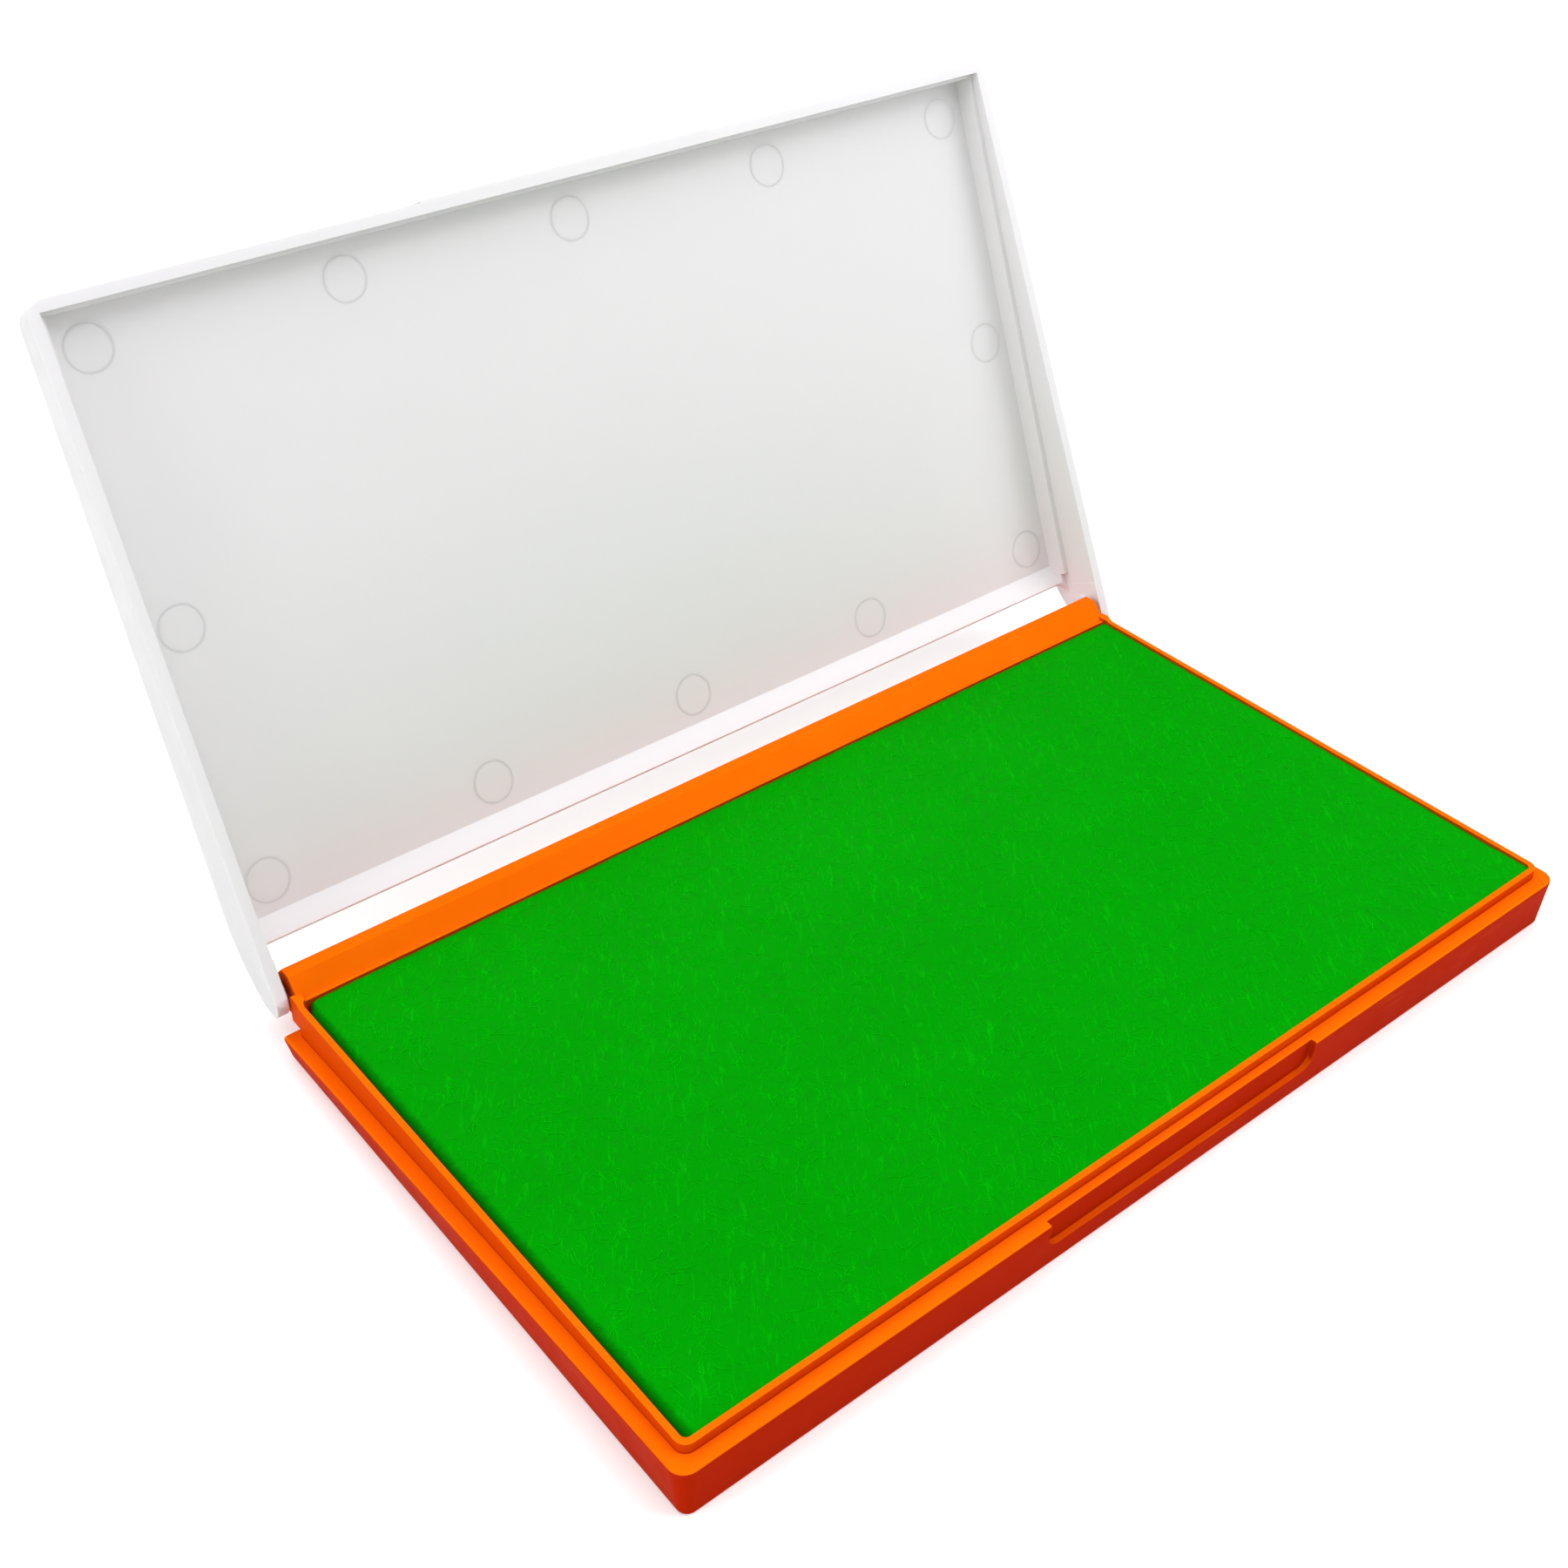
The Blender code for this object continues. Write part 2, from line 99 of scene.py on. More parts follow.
# The felt fills most of the air that the frame leaves round its block
FELT_TOP_ABOVE_NODE = -0.08 * MM
FELT_REACH_LEFT = 0.16 * MM
FELT_REACH = 0.27 * MM
FELT_STEP = 0.42 * MM
FELT_EDGE_STEPS = [step * MM for step in (0.0, 0.04, 0.12, 0.22, 0.34, 0.5, 0.72, 1.0, 1.35)]
FELT_CORNER = 1.35 * MM
FELT_ROUND_LEFT = 0.85 * MM
FELT_ROUND_SIDE = 0.12 * MM
FELT_ROUND_BACK = 0.10 * MM
FELT_WAVES = ((0.045 * MM, (26, 15)), (0.030 * MM, (90, 52)))
FELT_GRAIN = 0.022 * MM
FELT_SEED = 7

# Loose hairs: each walks over the felt in FIBRE_STEPS points, turning as it goes, and thins out
# to its tips. FIBRE_SEAT and FIBRE_FLATNESS are in radii
FIBRES = 6500
FIBRE_SEED = 19
FIBRE_STEPS = 7
FIBRE_LENGTH_MM = (0.6, 2.0)
FIBRE_RADIUS_MM = (0.011, 0.024)
FIBRE_LIFT_MM = (0.01, 0.06)
FIBRE_CURL = 1.5
FIBRE_WOBBLE = 0.35
FIBRE_SEAT = 0.4
FIBRE_FLATNESS = 0.45
FIBRE_TIP_RADIUS = 0.4
FIBRE_SWELL = 0.6
FIBRE_SWELL_START = 0.35
FIBRE_CORNERS = [math.radians(turn) for turn in (90.0, 210.0, 330.0)]
FIBRE_START_MARGIN = 0.9 * MM
FIBRE_MARGIN = 0.3 * MM
# How much brighter the hairs' greens are than the felt's: painted light on the loose hairs
FIBRE_BRIGHTNESS = 2.35

# Ejector marks in the lid, placed to the side and ahead of the hinge axis. MARK_PROFILE is a
# closed outline in millimetres: radius and height above the lid's floor
MARK_COLUMNS = [x * MM for x in (-42.8, -21.5, 0.0, 21.5, 42.8)]
MARK_ROWS = [s * MM for s in (7.9, 51.3)]
MARK_SIDE = 42.9 * MM
MARK_MIDDLE = 29.4 * MM
MARK_PROFILE = ((1.60, -0.05), (1.72, -0.004), (1.84, 0.012), (1.96, -0.004), (2.08, -0.05))
MARK_SEGMENTS = 48

# Studio lights: name, place, target, size in metres and power in watts
LIGHTS = (
    ("overhead", (0.0, -0.05, 1.25), (0.0, 0.0, 0.0), 1.9, 19.0),
    ("left_window", (-1.1, 0.05, 0.52), (0.0, 0.0, 0.02), 0.8, 6.8),
    ("back_fill", (0.1, 1.2, 0.6), (0.0, 0.1, 0.0), 0.8, 6.2),
    ("right_fill", (0.42, -0.30, 0.42), (0.0, 0.02, 0.03), 0.4, 1.75),
)
WORLD_STRENGTH = 0.14

# The floor is a square FLOOR_HALF metres to each side, just under the tray
FLOOR_HALF = 2.5
FLOOR_DROP = 0.02 * MM
FLOOR_GLOW = 0.15

# The camera, fitted to the photo's straight edges
CAMERA_PLACE = (-0.088967, -0.087718, 0.113371)
CAMERA_RIGHT = (0.778614, -0.627413, 0.010627)
CAMERA_FORWARD = (0.516132, 0.630700, -0.579505)
CAMERA_SENSOR = 36.0
CAMERA_LENS = 45.42
CAMERA_SHIFT = (0.00761, -0.03617)
CAMERA_CLIP = (0.01, 20.0)


# ---------------------------------------------------------------- node helpers


class Graph:
    """A short way to write shader nodes."""

    def __init__(self, name):
        self.material = bpy.data.materials.new(name)
        self.material.use_nodes = True
        self.tree = self.material.node_tree
        self.shader = self.tree.nodes["Principled BSDF"]
        self.coords = self.add("ShaderNodeTexCoord")

    def add(self, kind, **values):
        node = self.tree.nodes.new(kind)
        for key, value in values.items():
            setattr(node, key, value)
        return node

    def link(self, source, target):
        self.tree.links.new(source, target)

    def feed(self, socket, value):
        """value is a socket to link or a constant to set."""
        if isinstance(value, bpy.types.NodeSocket):
            self.link(value, socket)
        else:
            socket.default_value = value

    def mapped(self, scale, turn):
        """Object coordinates, turned and then scaled."""
        turned = self.mapping(self.coords.outputs["Object"], (1.0, 1.0, 1.0), turn)
        return self.mapping(turned, scale, (0.0, 0.0, 0.0))

    def mapping(self, vector, scale, turn):
        node = self.add("ShaderNodeMapping")
        node.inputs["Scale"].default_value = scale
        node.inputs["Rotation"].default_value = turn
        self.link(vector, node.inputs["Vector"])
        return node.outputs["Vector"]

    def split(self, vector):
        """The X, Y and Z sockets of a vector."""
        node = self.add("ShaderNodeSeparateXYZ")
        self.link(vector, node.inputs["Vector"])
        return node.outputs

    def vector_math(self, operation, a, b):
        """a is a socket, b a socket or a constant. A dot product gives a value, the rest a vector."""
        node = self.add("ShaderNodeVectorMath", operation=operation)
        self.link(a, node.inputs[0])
        self.feed(node.inputs[1], b)
        return node.outputs["Value" if operation == "DOT_PRODUCT" else "Vector"]

    def noise(self, scale, detail=3.0, rough=0.5, vector=None, distortion=0.0):
        """Noise from 0 to 1, on the object coordinates or on the given vector."""
        node = self.add("ShaderNodeTexNoise")
        node.inputs["Scale"].default_value = scale
        node.inputs["Detail"].default_value = detail
        node.inputs["Roughness"].default_value = rough
        node.inputs["Distortion"].default_value = distortion
        self.link(vector or self.coords.outputs["Object"], node.inputs["Vector"])
        return node.outputs["Fac"]

    def remap(self, value, low, high, out_low=0.0, out_high=1.0):
        """A smooth step from out_low at low to out_high at high."""
        node = self.add("ShaderNodeMapRange", interpolation_type="SMOOTHSTEP")
        self.feed(node.inputs["Value"], value)
        node.inputs["From Min"].default_value = low
        node.inputs["From Max"].default_value = high
        node.inputs["To Min"].default_value = out_low
        node.inputs["To Max"].default_value = out_high
        return node.outputs["Result"]

    def math(self, operation, a, b=0.0, c=0.0):
        node = self.add("ShaderNodeMath", operation=operation)
        self.feed(node.inputs[0], a)
        self.feed(node.inputs[1], b)
        self.feed(node.inputs[2], c)
        return node.outputs["Value"]

    def mix(self, factor, a, b):
        """From colour a to colour b. Inputs 6 and 7 and output 2 are the node's colour sockets."""
        node = self.add("ShaderNodeMix", data_type="RGBA")
        self.feed(node.inputs["Factor"], factor)
        self.feed(node.inputs[6], a)
        self.feed(node.inputs[7], b)
        return node.outputs[2]

    def tint(self, colour, mask, amount, towards):
        """Moves the colour by amount towards another where the mask is 1."""
        return self.mix(self.math("MULTIPLY", mask, amount), colour, towards)

    def bump(self, height, strength, distance, below=None):
        """A normal for the height, on top of the normal below."""
        node = self.add("ShaderNodeBump")
        node.inputs["Strength"].default_value = strength
        node.inputs["Distance"].default_value = distance
        self.link(height, node.inputs["Height"])
        if below:
            self.link(below, node.inputs["Normal"])
        return node.outputs["Normal"]

    def set(self, name, value):
        self.feed(self.shader.inputs[name], value)


def hairlines(g, fineness, tilt, threshold, patch_scale):
    """Fine straight scuffs, 0 to 1, tilted by degrees about X and gathered in patches."""
    place = g.mapped((90.0, 90.0, fineness), (math.radians(tilt), 0.0, 0.0))
    streaks = g.noise(1.0, detail=2.0, rough=0.6, vector=place)
    lines = g.remap(streaks, threshold, threshold + 0.08)
    patches = g.remap(g.noise(patch_scale, detail=1.0), 0.45, 0.65)
    return g.math("MULTIPLY", lines, patches)


def edge_mask(g, radius):
    """Near 1 where a face meets a hard edge."""
    bevel = g.add("ShaderNodeBevel", samples=6)
    bevel.inputs["Radius"].default_value = radius
    geometry = g.add("ShaderNodeNewGeometry")
    likeness = g.vector_math("DOT_PRODUCT", bevel.outputs["Normal"], geometry.outputs["Normal"])
    return g.remap(likeness, 0.995, 0.9)


# ------------------------------------------------------------------- materials


def tray_painted_light(g):
    """Painted light, near 1 on faces that look up and less on the finger recess's sill, as painted
    shade; the thin rim gets a little painted light.
    """
    place = g.split(g.coords.outputs["Object"])
    normal = g.split(g.coords.outputs["Normal"])
    rise = g.math("MULTIPLY_ADD", place["Y"], LEDGE_SLOPE, place["Z"])
    thin_rim = g.remap(rise, LEDGE_AT_ORIGIN - 0.2 * MM, LEDGE_AT_ORIGIN + 0.4 * MM, 0.0, 0.35)
    sill = g.remap(rise, LEDGE_AT_ORIGIN - 0.9 * MM, LEDGE_AT_ORIGIN - 0.2 * MM, 0.35, 1.0)
    facing_up = g.math("MULTIPLY", g.remap(normal["Z"], 0.1, 0.75), sill)
    return g.math("MAXIMUM", facing_up, thin_rim)


def orange_plastic():
    """Deep orange moulding: brighter on top by painted light, with scuffs, worn edges that also carry
    a painted highlight, and a fine grain.
    """
    g = Graph("orange_moulding")
    cloudy = g.noise(70.0, detail=4.0, rough=0.55)
    shaded = g.mix(cloudy, *SHADED_ORANGE)
    lit = g.mix(cloudy, *LIT_ORANGE)
    # Painted light and shade: the shaded orange on side faces and in the recess, the lit orange on
    # faces that look up and, a little, on the thin rim
    colour = g.mix(tray_painted_light(g), shaded, lit)
    level_scuffs = hairlines(g, fineness=5200.0, tilt=6, threshold=0.66, patch_scale=48.0)
    tilted_scuffs = hairlines(g, fineness=4600.0, tilt=-38, threshold=0.69, patch_scale=57.0)
    scuffs = g.math("MAXIMUM", level_scuffs, tilted_scuffs)
    colour = g.tint(colour, scuffs, 0.28, WORN_AND_HIGHLIGHT_ORANGE)
    # Edges lightened in patches: real wear and a painted highlight
    wear_and_highlight = g.math("MULTIPLY", edge_mask(g, 0.25 * MM), g.remap(g.noise(240.0), 0.35, 0.7))
    g.set("Base Color", g.tint(colour, wear_and_highlight, 0.22, WORN_AND_HIGHLIGHT_ORANGE))
    rough = g.remap(g.noise(420.0), 0.3, 0.7, 0.30, 0.40)
    g.set("Roughness", g.math("ADD", rough, g.math("MULTIPLY", scuffs, 0.2)))
    fine = g.noise(6500.0, detail=2.0, rough=0.6)
    grain = g.bump(fine, strength=0.22, distance=0.01 * MM)
    broad = g.noise(110.0, detail=1.5)
    waves = g.bump(broad, strength=0.25, distance=0.06 * MM, below=grain)
    g.set("Normal", g.bump(scuffs, strength=0.35, distance=0.008 * MM, below=waves))
    g.set("Subsurface Weight", 0.06)
    g.set("Subsurface Radius", (1.0, 0.25, 0.05))
    g.set("Subsurface Scale", 0.6 * MM)
    g.set("Specular IOR Level", 0.003)
    g.set("Specular Tint", (1.0, 0.30, 0.0, 1.0))
    g.set("Metallic", 0.14)
    return g.material


def outer_faces_shade(g):
    """Near 1 on the lid's outer walls and back, which get painted shade: a greyer white than the
    polished inside.
    """
    normal = g.coords.outputs["Normal"]
    offset = g.vector_math("SUBTRACT", g.coords.outputs["Object"], LID_CENTRE)
    sides = g.remap(g.vector_math("DOT_PRODUCT", offset, normal), 10.0 * MM, 17.0 * MM)
    lid_back = (0.0, math.sin(OPEN_ANGLE), math.cos(OPEN_ANGLE))
    back = g.remap(g.vector_math("DOT_PRODUCT", normal, lid_back), 0.3, 0.6)
    return g.math("MAXIMUM", sides, back)


def white_plastic():
    """White moulding with a faint cloudiness, soft waves and a fine grain."""
    g = Graph("white_moulding")
    polished = g.mix(g.noise(24.0, detail=2.0), *POLISHED_WHITE)
    # The lid's outer walls and back take the greyer white, painted shade
    g.set("Base Color", g.mix(outer_faces_shade(g), polished, SHADED_OUTER_WHITE))
    g.set("Roughness", g.remap(g.noise(260.0), 0.3, 0.7, 0.28, 0.38))
    fine = g.noise(5200.0, detail=2.0, rough=0.6)
    grain = g.bump(fine, strength=0.12, distance=0.01 * MM)
    broad = g.noise(38.0, detail=1.0)
    g.set("Normal", g.bump(broad, strength=0.35, distance=0.15 * MM, below=grain))
    g.set("Subsurface Weight", 0.25)
    g.set("Subsurface Radius", (1.0, 0.95, 0.9))
    g.set("Subsurface Scale", 0.8 * MM)
    g.set("Specular IOR Level", 0.3)
    return g.material


def greener(colour, factor):
    """The colour with its green multiplied by factor, up to BRIGHTEST_GREEN."""
    r, g, b = colour
    return (r, min(g * factor, BRIGHTEST_GREEN), b, 1.0)


def inked_felt(name, brightness, left_edge):
    """Inked felt, darker in a ragged band of painted shade along its left edge."""
    g = Graph(name)
    patches = g.noise(95.0, detail=4.0, rough=0.6, distortion=0.4)
    fine = g.noise(900.0, rough=0.65, distortion=0.8)
    along = g.mapped((2600.0, 420.0, 900.0), (0.0, 0.0, 0.6))
    threads = g.noise(1.0, detail=2.0, rough=0.6, vector=along, distortion=1.2)
    shades = [greener(colour, brightness) for colour in FELT_GREEN]
    dark = greener(FELT_DARK_GREEN, brightness)
    light = greener(FELT_THREAD_GREEN, brightness)
    colour = g.mix(patches, *shades)
    colour = g.tint(colour, g.remap(fine, 0.52, 0.3), 0.30, dark)
    colour = g.tint(colour, g.remap(threads, 0.56, 0.72), 0.35, light)
    ragged = g.math("MULTIPLY", g.noise(1500.0, rough=0.7), 0.9 * MM)
    inward = g.math("ADD", g.split(g.coords.outputs["Object"])["X"], ragged)
    # Painted shade in a ragged band along the felt's left edge
    edge_shade = g.remap(inward, left_edge + 1.25 * MM, left_edge + 0.75 * MM)
    g.set("Base Color", g.tint(colour, edge_shade, 0.55, greener(FELT_SHADED_EDGE_GREEN, brightness)))
    g.set("Roughness", g.remap(fine, 0.3, 0.7, 0.72, 0.95))
    matted = g.bump(fine, strength=0.4, distance=0.05 * MM)
    g.set("Normal", g.bump(threads, strength=0.35, distance=0.04 * MM, below=matted))
    g.set("Specular IOR Level", 0.15)
    g.set("Specular Tint", (0.02, 1.0, 0.03, 1.0))
    return g.material


def floor_paper():
    """White paper that glows a little, so the floor stays white in the shade."""
    g = Graph("studio_floor")
    g.set("Base Color", PAPER_WHITE)
    g.set("Emission Color", PURE_WHITE)
    g.set("Emission Strength", FLOOR_GLOW)
    g.set("Roughness", 0.7)
    g.set("Specular IOR Level", 0.1)
    return g.material


# ---------------------------------------------------------------------- meshes


def add_mesh(name, vertices, faces, material, smooth=True):
    """A new object, in the scene, with the given mesh and material."""
    mesh = bpy.data.meshes.new(name)
    mesh.from_pydata([tuple(v) for v in vertices], [], faces)
    mesh.validate()
    mesh.update()
    if smooth:
        mesh.shade_smooth()
    mesh.materials.append(material)
    item = bpy.data.objects.new(name, mesh)
    bpy.context.collection.objects.link(item)
    return item


def dress(node, material):
    """Gives a moulding its material and soft edges; its own mesh stays as it is."""
    node.data.materials.clear()
    node.data.materials.append(material)
    node.data.shade_smooth()
    weld = node.modifiers.new("weld", "WELD")
    weld.merge_threshold = WELD_DISTANCE
    bevel = node.modifiers.new("soft_edges", "BEVEL")
    bevel.width = EDGE_SOFTNESS
    bevel.segments = EDGE_SEGMENTS
    bevel.limit_method = "ANGLE"
    bevel.angle_limit = EDGE_ANGLE
    bevel.use_clamp_overlap = True
    bevel.harden_normals = False
    normals = node.modifiers.new("face_normals", "WEIGHTED_NORMAL")
    normals.mode = "FACE_AREA"
    normals.weight = NORMAL_WEIGHT
    normals.keep_sharp = False


def spaced(low, high):
    """Positions from low to high, close together at both ends."""
    left = [low + step for step in FELT_EDGE_STEPS]
    right = [high - step for step in reversed(FELT_EDGE_STEPS)]
    count = max(2, round((right[0] - left[-1]) / FELT_STEP))
    middle = np.linspace(left[-1], right[0], count + 1)[1:-1]
    return np.array(left + list(middle) + right)


def smoothstep(t):
    """From 0 at 0 to 1 at 1, level at both ends."""
    return t * t * (3 - 2 * t)


def smooth_noise(rng, shape, cells):
    """Soft random relief of the given shape, about -1 to 1."""
    coarse = rng.uniform(-1.0, 1.0, (cells[0] + 3, cells[1] + 3))
    u = np.linspace(0.0, cells[0], shape[0])
    v = np.linspace(0.0, cells[1], shape[1])
    iu = u.astype(int)
    iv = v.astype(int)
    fu = smoothstep(u - iu)[:, None]
    fv = smoothstep(v - iv)[None, :]
    near = coarse[np.ix_(iu, iv)] * (1 - fu) + coarse[np.ix_(iu + 1, iv)] * fu
    far = coarse[np.ix_(iu, iv + 1)] * (1 - fu) + coarse[np.ix_(iu + 1, iv + 1)] * fu
    return near * (1 - fv) + far * fv


def edge_drop(distance, radius):
    """How far a rounded edge falls at a distance inside the outline, short of the full radius."""
    inside = np.clip(1.0 - distance / radius, 0.0, 1.0)
    return radius * (1.0 - np.sqrt(1.0 - inside**2 * 0.999))


def felt_relief(x, y, top, low, high, rng):
    """Height of the felt's surface on the grid: matted relief and rounded edges."""
    relief = 0.0
    for height, cells in FELT_WAVES:
        relief = relief + height * smooth_noise(rng, x.shape, cells)
    relief += FELT_GRAIN * rng.uniform(-1.0, 1.0, x.shape)
    edges = (
        (x - low.x, FELT_ROUND_LEFT),
        (high.x - x, FELT_ROUND_SIDE),
        (y - low.y, FELT_ROUND_SIDE),
        (high.y - y, FELT_ROUND_BACK),
    )
    drop = np.max([edge_drop(distance, radius) for distance, radius in edges], axis=0)
    return top + relief - drop


def round_back_left(x, y, low, high):
    """Pulls the grid's back left corner square in to a quarter circle."""
    cx = low.x + FELT_CORNER
    cy = high.y - FELT_CORNER
    dx = np.minimum(x - cx, 0.0)
    dy = np.maximum(y - cy, 0.0)
    length = np.hypot(dx, dy)
    reach = np.maximum(np.abs(dx), np.abs(dy))
    inside = (x < cx) & (y > cy) & (length > 0)
    scale = np.where(inside, reach / np.maximum(length, TINY), 1.0)
    return np.where(inside, cx + dx * scale, x), np.where(inside, cy + dy * scale, y)


def felt_outline():
    """Corners of the felt, seen from above: the frame's block and most of the air round it."""
    low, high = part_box("felt_pad")
    near = Vector((low.x - FELT_REACH_LEFT, low.y - FELT_REACH, 0.0))
    far = Vector((high.x + FELT_REACH, high.y + FELT_REACH, 0.0))
    return near, far


def felt_pad(low, high, material):
    """The felt: one closed body with a matted top and soft edges, filling the rim."""
    block_low, block_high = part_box("felt_pad")
    rng = np.random.default_rng(FELT_SEED)
    x, y = np.meshgrid(spaced(low.x, high.x), spaced(low.y, high.y), indexing="ij")
    z = felt_relief(x, y, block_high.z + FELT_TOP_ABOVE_NODE, low, high, rng)
    x, y = round_back_left(x, y, low, high)
    nx, ny = x.shape
    grid = np.arange(nx * ny).reshape(nx, ny).tolist()
    faces = []
    for i in range(nx - 1):
        for j in range(ny - 1):
            faces.append((grid[i][j], grid[i + 1][j], grid[i + 1][j + 1], grid[i][j + 1]))
    front = [grid[i][0] for i in range(nx)]
    right = [grid[-1][j] for j in range(1, ny)]
    back = [grid[i][-1] for i in range(nx - 2, -1, -1)]
    left = [grid[0][j] for j in range(ny - 2, 0, -1)]
    border = front + right + back + left
    vertices = np.stack([x, y, z], -1).reshape(-1, 3)
    foot = vertices[border].copy()
    foot[:, 2] = block_low.z
    start = len(vertices)
    count = len(border)
    for k in range(count):
        n = (k + 1) % count
        faces.append((border[n], border[k], start + k, start + n))
    faces.append(tuple(range(start + count - 1, start - 1, -1)))
    pad = add_mesh("felt_surface", np.concatenate([vertices, foot]), faces, material)
    return pad, (x, y, z)


def surface_height(grid, px, py):
    """Felt height under a point, from the nearest grid node."""
    x, y, z = grid
    i = np.clip(np.searchsorted(x[:, x.shape[1] // 2], px), 0, x.shape[0] - 1)
    j = np.clip(np.searchsorted(y[y.shape[0] // 2, :], py), 0, y.shape[1] - 1)
    return z[i, j]


def felt_fibres(grid, low, high, material):
    """Loose curly hairs lying on the felt, each a thin closed three-sided tube."""
    rng = np.random.default_rng(FIBRE_SEED)
    px = rng.uniform(low.x + FIBRE_START_MARGIN, high.x - FIBRE_START_MARGIN, FIBRES)
    py = rng.uniform(low.y + FIBRE_START_MARGIN, high.y - FIBRE_START_MARGIN, FIBRES)
    heading = rng.uniform(0.0, 2 * math.pi, FIBRES)
    length = rng.uniform(*FIBRE_LENGTH_MM, FIBRES) * MM
    curl = rng.normal(0.0, 1.0, FIBRES) * FIBRE_CURL
    wobble = rng.normal(0.0, FIBRE_WOBBLE, (FIBRES, FIBRE_STEPS))
    radius = rng.uniform(*FIBRE_RADIUS_MM, FIBRES) * MM
    lift = rng.uniform(*FIBRE_LIFT_MM, FIBRES) * MM
    centres = np.zeros((FIBRES, FIBRE_STEPS, 3))
    last = FIBRE_STEPS - 1
    for k in range(FIBRE_STEPS):
        arch = lift * math.sin(math.pi * (k / last))
        centres[:, k, 0] = px
        centres[:, k, 1] = py
        centres[:, k, 2] = surface_height(grid, px, py) + radius * FIBRE_SEAT + arch
        heading = heading + curl / FIBRE_STEPS + wobble[:, k]
        px = np.clip(px + np.cos(heading) * length / last, low.x + FIBRE_MARGIN, high.x - FIBRE_MARGIN)
        py = np.clip(py + np.sin(heading) * length / last, low.y + FIBRE_MARGIN, high.y - FIBRE_MARGIN)
    vertices, faces = tubes(centres, radius)
    return add_mesh("felt_fibres", vertices, faces, material)


def tubes(centres, radius):
    """Closed, flattened three-sided tubes along rows of centres."""
    count, steps, _ = centres.shape
    along = np.gradient(centres, axis=1)
    along /= np.maximum(np.linalg.norm(along, axis=2, keepdims=True), TINY)
    side = np.cross(along, np.array([0.0, 0.0, 1.0]))
    side /= np.maximum(np.linalg.norm(side, axis=2, keepdims=True), TINY)
    up = np.cross(side, along)
    swell = np.sin(np.linspace(FIBRE_SWELL_START, math.pi - FIBRE_SWELL_START, steps))
    taper = swell[None, :, None] * FIBRE_SWELL + FIBRE_TIP_RADIUS
    rows = []
    for angle in FIBRE_CORNERS:
        offset = side * math.cos(angle) + up * math.sin(angle) * FIBRE_FLATNESS
        rows.append(centres + offset * radius[:, None, None] * taper)
    vertices = np.stack(rows, axis=2).reshape(-1, 3)
    faces = []
    for f in range(count):
        base = f * steps * 3
        for k in range(steps - 1):
            a = base + k * 3
            for s in range(3):
                n = (s + 1) % 3
                faces.append((a + s, a + n, a + 3 + n, a + 3 + s))
        faces.append((base + 2, base + 1, base))
        end = base + (steps - 1) * 3
        faces.append((end, end + 1, end + 2))
    return vertices, faces


def ejector_marks(to_world, material):
    """Twelve shallow round marks on the lid's floor, left by the mould's pins."""
    spots = [(x, s) for x in MARK_COLUMNS for s in MARK_ROWS]
    spots += [(-MARK_SIDE, MARK_MIDDLE), (MARK_SIDE, MARK_MIDDLE)]
    rows = len(MARK_PROFILE)
    vertices = []
    faces = []
    for x, s in spots:
        start = len(vertices)
        for k in range(MARK_SEGMENTS):
            angle = 2 * math.pi * k / MARK_SEGMENTS
            for radius, height in MARK_PROFILE:
                px = x + radius * MM * math.cos(angle)
                ps = s + radius * MM * math.sin(angle)
                floor = LID_FLOOR_AT_AXIS - LID_FLOOR_TAPER * ps
                vertices.append(to_world @ Vector((px, -ps, floor - height * MM)))
        for k in range(MARK_SEGMENTS):
            a = start + k * rows
            b = start + (k + 1) % MARK_SEGMENTS * rows
            for r in range(rows):
                q = (r + 1) % rows
                faces.append((a + r, b + r, b + q, a + q))
    marks = add_mesh("lid_ejector_marks", vertices, faces, material)
    face_outward(marks)
    return marks


def face_outward(item):
    """Turns a closed mesh's faces outward."""
    bm = bmesh.new()
    bm.from_mesh(item.data)
    bmesh.ops.recalc_face_normals(bm, faces=bm.faces)
    bm.to_mesh(item.data)
    bm.free()


# ------------------------------------------------------------------ the studio


def floor():
    """The white ground, which isn't part of the object."""
    half = FLOOR_HALF
    corners = [(-half, -half, 0), (half, -half, 0), (half, half, 0), (-half, half, 0)]
    item = add_mesh("studio_floor", corners, [(0, 1, 2, 3)], floor_paper(), smooth=False)
    item.location.z = -FLOOR_DROP


def area_light(name, location, target, size, power):
    """A square white light that faces its target."""
    data = bpy.data.lights.new(name, "AREA")
    data.shape = "SQUARE"
    data.size = size
    data.energy = power
    item = bpy.data.objects.new(name, data)
    bpy.context.collection.objects.link(item)
    item.location = location
    item.rotation_euler = (Vector(target) - Vector(location)).to_track_quat("-Z", "Y").to_euler()


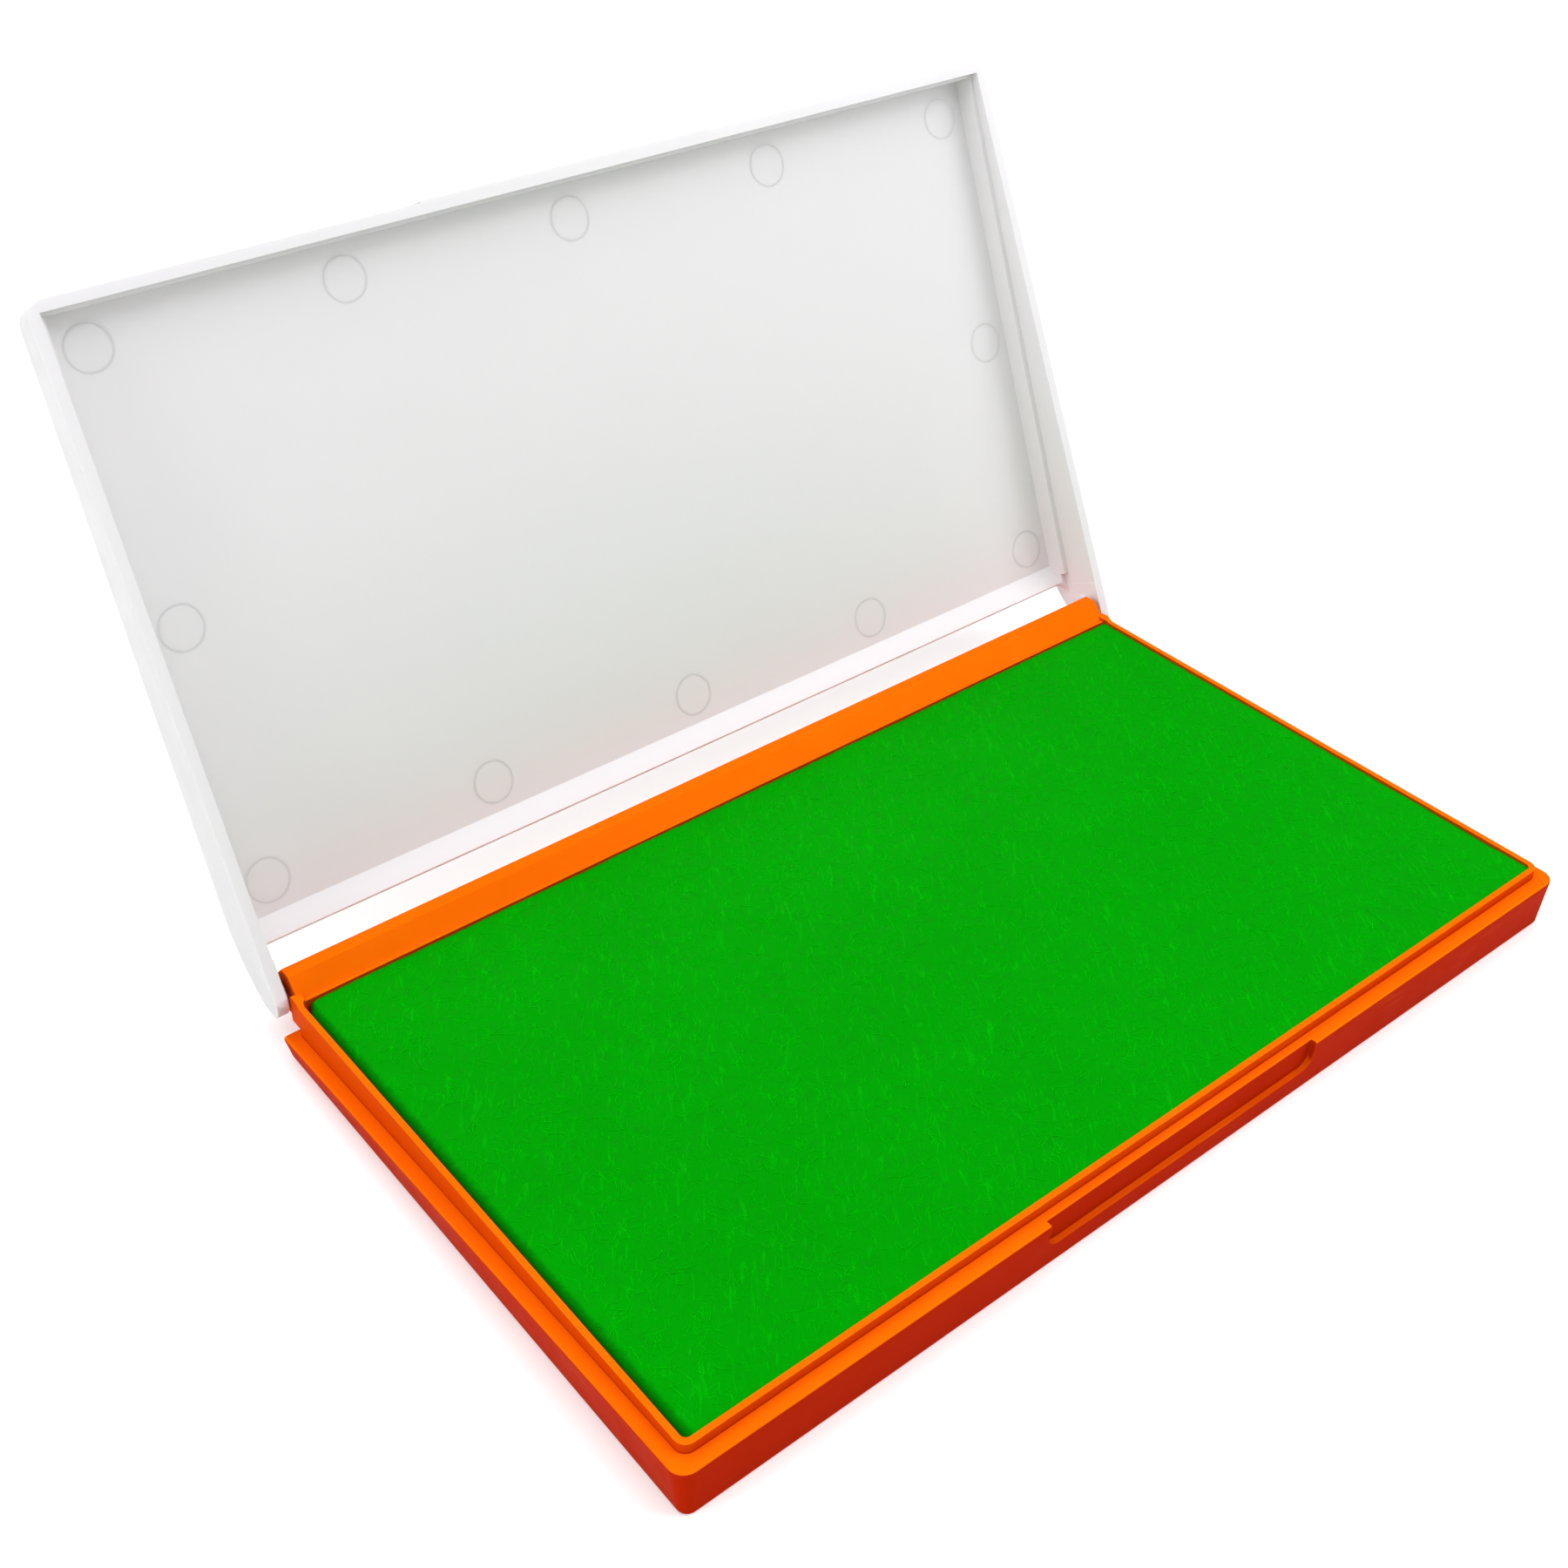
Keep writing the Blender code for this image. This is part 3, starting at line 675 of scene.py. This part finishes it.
def camera():
    """The photo's view."""
    data = bpy.data.cameras.new("camera")
    data.sensor_width = CAMERA_SENSOR
    data.lens = CAMERA_LENS
    data.shift_x, data.shift_y = CAMERA_SHIFT
    data.clip_start, data.clip_end = CAMERA_CLIP
    item = bpy.data.objects.new("camera", data)
    bpy.context.collection.objects.link(item)
    right = Vector(CAMERA_RIGHT).normalized()
    forward = Vector(CAMERA_FORWARD).normalized()
    up = right.cross(forward).normalized()
    rotation = Matrix((right, up, -forward)).transposed().to_4x4()
    item.matrix_world = Matrix.Translation(CAMERA_PLACE) @ rotation
    bpy.context.scene.camera = item


def world():
    """Even white light from all round."""
    shade = bpy.data.worlds.new("studio")
    shade.use_nodes = True
    background = shade.node_tree.nodes["Background"]
    background.inputs["Color"].default_value = PURE_WHITE
    background.inputs["Strength"].default_value = WORLD_STRENGTH
    bpy.context.scene.world = shade


def studio():
    """Everything that shows the object but isn't part of it."""
    floor()
    world()
    for light in LIGHTS:
        area_light(*light)
    camera()
    view = bpy.context.scene.view_settings
    view.view_transform = "Standard"
    view.look = "None"
    view.exposure = 0.0
    view.gamma = 1.0


# ------------------------------------------------------------------------ main


def lid_to_world(frame):
    """From the lid's own frame, with its origin on the hinge axis, to the world at rest."""
    hinge = next(joint for joint in frame["joints"] if joint["name"] == "lid_hinge")
    return Matrix.Translation(Vector(hinge["pos_m"])) @ Matrix.Rotation(-OPEN_ANGLE, 4, "X")


def main():
    """Dresses the frame, adds the felt, its hairs and the lid's marks, and sets up the studio."""
    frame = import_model()

    white = white_plastic()
    dress(frame["nodes"]["base_tray"], orange_plastic())
    dress(frame["nodes"]["lid"], white)

    left_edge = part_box("felt_pad")[0].x
    low, high = felt_outline()
    pad, grid = felt_pad(low, high, inked_felt("inked_felt", 1.0, left_edge))
    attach(pad, "tray_body")
    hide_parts("felt_pad")
    # The hairs take a brighter copy of the felt, painted light
    hairs = felt_fibres(grid, low, high, inked_felt("felt_hairs", FIBRE_BRIGHTNESS, left_edge))
    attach(hairs, "tray_body")

    marks = ejector_marks(lid_to_world(frame), white)
    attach(marks, "lid_body")

    studio()


main()
